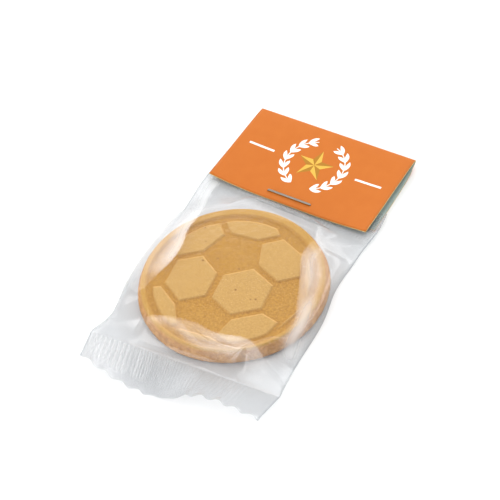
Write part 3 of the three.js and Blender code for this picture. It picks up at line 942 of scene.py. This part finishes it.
wire = bmesh.new()
ring = bmesh.ops.create_circle(wire, segments=wire_sides, radius=0.5)["verts"]
bmesh.ops.scale(wire, verts=ring, vec=(wire_thickness, wire_width, 1))
bmesh.ops.rotate(wire, verts=ring, matrix=Matrix.Rotation(math.radians(90), 3, "Y"))
middle = (staple_low + staple_high) / 2
reach = (crown_length - wire_thickness) / 2
bmesh.ops.translate(wire, verts=ring, vec=(clinch_length - reach, 0, clinch_z))
stretch = wire.edges[:]
drop = crown_z - clinch_z - 2 * bend_radius
runs = [(bend_radius - clinch_length, 0), (0, drop), (2 * (reach - bend_radius), 0),
        (0, -drop), (bend_radius - clinch_length, 0)]
corners = [(-reach + bend_radius, clinch_z + bend_radius),
           (-reach + bend_radius, crown_z - bend_radius),
           (reach - bend_radius, crown_z - bend_radius),
           (reach - bend_radius, clinch_z + bend_radius)]
for i, (step_x, step_z) in enumerate(runs):
    made = bmesh.ops.extrude_edge_only(wire, edges=stretch)["geom"]
    ends = [part for part in made if isinstance(part, bmesh.types.BMVert)]
    stretch = [part for part in made if isinstance(part, bmesh.types.BMEdge)]
    bmesh.ops.translate(wire, verts=ends, vec=(step_x, 0, step_z))
    if i < len(corners):
        bend_x, bend_z = corners[i]
        turn = bmesh.ops.spin(wire, geom=stretch + ends, cent=(bend_x, 0, bend_z),
                              axis=(0, 1, 0), angle=math.radians(90), steps=bend_steps)
        stretch = [part for part in turn["geom_last"] if isinstance(part, bmesh.types.BMEdge)]
bmesh.ops.remove_doubles(wire, verts=wire.verts, dist=weld_distance)
bmesh.ops.holes_fill(wire, edges=[edge for edge in wire.edges if edge.is_boundary], sides=0)
bmesh.ops.recalc_face_normals(wire, faces=wire.faces)
bmesh.ops.rotate(wire, verts=wire.verts, matrix=Matrix.Rotation(card_turn, 3, "Z"))
bmesh.ops.translate(wire, verts=wire.verts, vec=(middle.x, middle.y, 0))
bmesh.ops.scale(wire, verts=wire.verts, vec=(MM, MM, MM))
staple = new_piece("staple_wire", wire, sharp_angle=50)

# Drawn mild steel, bright but dulled by handling, with fine lines along the wire
steel = new_material("drawn_steel_wire")
wire_space = add(steel, "ShaderNodeTexCoord", "Object", {})
draw_lines = add(steel, "ShaderNodeMapping", 0,
                 {"Vector": wire_space, "Scale": (per_size(line_length), per_size(line_pitch),
                                                  per_size(line_pitch))})
scratches = add(steel, "ShaderNodeTexNoise", "Fac",
                {"Vector": draw_lines, "Scale": 1.0, "Detail": 2})
steel_colour = add(steel, "ShaderNodeMix", 2, {"Factor": scratches, 6: "#69665f", 7: "#a7a299"},
                   data_type="RGBA")
steel_rough = add(steel, "ShaderNodeMapRange", 0,
                  {"Value": scratches, "To Min": 0.25, "To Max": 0.5})
steel_surface = add(steel, "ShaderNodeBsdfPrincipled", 0,
                    {"Base Color": steel_colour, "Metallic": 1.0, "Roughness": steel_rough})
add(steel, "ShaderNodeOutputMaterial", 0, {"Surface": steel_surface})
staple.data.materials.append(steel)
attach(staple, "root")
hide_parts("staple")

# Studio
# A plain pale table, six soft boxes and a soft room light, which is dimmer overhead and from the
# near right. The pack's film mirrors the boxes where it slopes, and the dim room where it is flat.

floor_size = 3.0
ground = bmesh.new()
bmesh.ops.create_grid(ground, x_segments=1, y_segments=1, size=floor_size / 2)
table = new_piece("table", ground)

# A matt white laminate table top: an even pale ground, with hardly a change of tone across it
table_top = new_material("pale_table")
table_space = add(table_top, "ShaderNodeTexCoord", "Object", {})
table_tone = add(table_top, "ShaderNodeTexNoise", "Fac",
                 {"Vector": table_space, "Scale": per_size(60)})
table_colour = add(table_top, "ShaderNodeMix", 2,
                   {"Factor": table_tone, 6: "#f1f1f1", 7: "#f4f4f4"}, data_type="RGBA")
table_surface = add(table_top, "ShaderNodeBsdfPrincipled", 0,
                    {"Base Color": table_colour, "Roughness": 0.9, "Specular IOR Level": 0.1})
add(table_top, "ShaderNodeOutputMaterial", 0, {"Surface": table_surface})
table.data.materials.append(table_top)

# Each soft box: the direction it lies in from the pack, its width and height in metres, and how
# bright its face is
box_distance = 0.9
soft_boxes = {
    "right_box": [(0.12, 0.42, 0.9), 0.8, 0.8, 1.05],
    "near_box": [(-0.36, 0.05, 0.93), 0.6, 0.6, 1.05],
    "overhead_box": [(0.25, -0.31, 0.92), 0.5, 0.5, 1.2],
    "left_box": [(-0.64, 0.6, 0.47), 0.6, 0.6, 1.4],
    "key": [(0.3, 0.82, 0.47), 0.8, 0.62, 3.1],
    "front_box": [(-0.55, -0.7, 0.45), 0.8, 0.8, 2.7],
}
for name, (direction, width, height, brightness) in soft_boxes.items():
    box = bpy.data.lights.new(name, "AREA")
    box.shape = "RECTANGLE"
    box.size, box.size_y = width, height
    box.energy = brightness * math.pi * width * height
    stand = bpy.data.objects.new(name, box)
    away = Vector(direction).normalized()
    stand.location = away * box_distance
    stand.rotation_euler = away.to_track_quat("Z", "Y").to_euler()
    bpy.context.collection.objects.link(stand)

level_glow, upward_glow, upward_from = 1.0, 0.45, 0.75
shade_way, shaded_share = (0.75, -0.66, 0), 0.72
room = bpy.data.worlds.new("room")
room.use_nodes = True
room.node_tree.nodes.clear()
toward = add(room, "ShaderNodeTexCoord", "Generated", {})
height = add(room, "ShaderNodeSeparateXYZ", "Z", {0: toward})
glow = add(room, "ShaderNodeMapRange", 0,
           {"Value": height, "From Max": upward_from, "To Min": level_glow,
            "To Max": upward_glow})
from_shade = add(room, "ShaderNodeVectorMath", "Value", {0: toward, 1: shade_way},
                 operation="DOT_PRODUCT")
shade = add(room, "ShaderNodeMapRange", 0,
            {"Value": from_shade, "To Min": 1.0, "To Max": shaded_share})
glow = add(room, "ShaderNodeMath", 0, {0: glow, 1: shade}, operation="MULTIPLY")
sky = add(room, "ShaderNodeBackground", 0, {"Color": "#ffffff", "Strength": glow})
add(room, "ShaderNodeOutputWorld", 0, {"Surface": sky})
bpy.context.scene.world = room
bpy.context.scene.view_settings.view_transform = "Standard"

# Camera
# The photograph's viewpoint, worked out from the round rim, the card's corners and the seal.
# Angles in degrees, and the focal length for a 36 mm wide sensor.
camera_azimuth, camera_elevation, camera_roll = 35.865, 48.301, -8.812
camera_distance = 358.5
camera_aim = Vector((-1.205, 10.541, 2.25))
focal_length, sensor_width = 104.4, 36
azimuth, elevation, roll = (math.radians(a) for a in
                            (camera_azimuth, camera_elevation, camera_roll))
back = Vector((math.sin(azimuth) * math.cos(elevation),
               -math.cos(azimuth) * math.cos(elevation), math.sin(elevation)))
level = Vector((math.cos(azimuth), math.sin(azimuth), 0))
upright = back.cross(level)
right = level * math.cos(roll) + upright * math.sin(roll)
up = back.cross(right)
lens = bpy.data.cameras.new("photo_view")
lens.lens = focal_length
lens.sensor_width = sensor_width
lens.clip_start = 0.01
camera = bpy.data.objects.new("photo_view", lens)
turn = Matrix((right, up, back)).transposed().to_4x4()
camera.matrix_world = Matrix.Translation((camera_aim + back * camera_distance) * MM) @ turn
bpy.context.collection.objects.link(camera)
bpy.context.scene.camera = camera
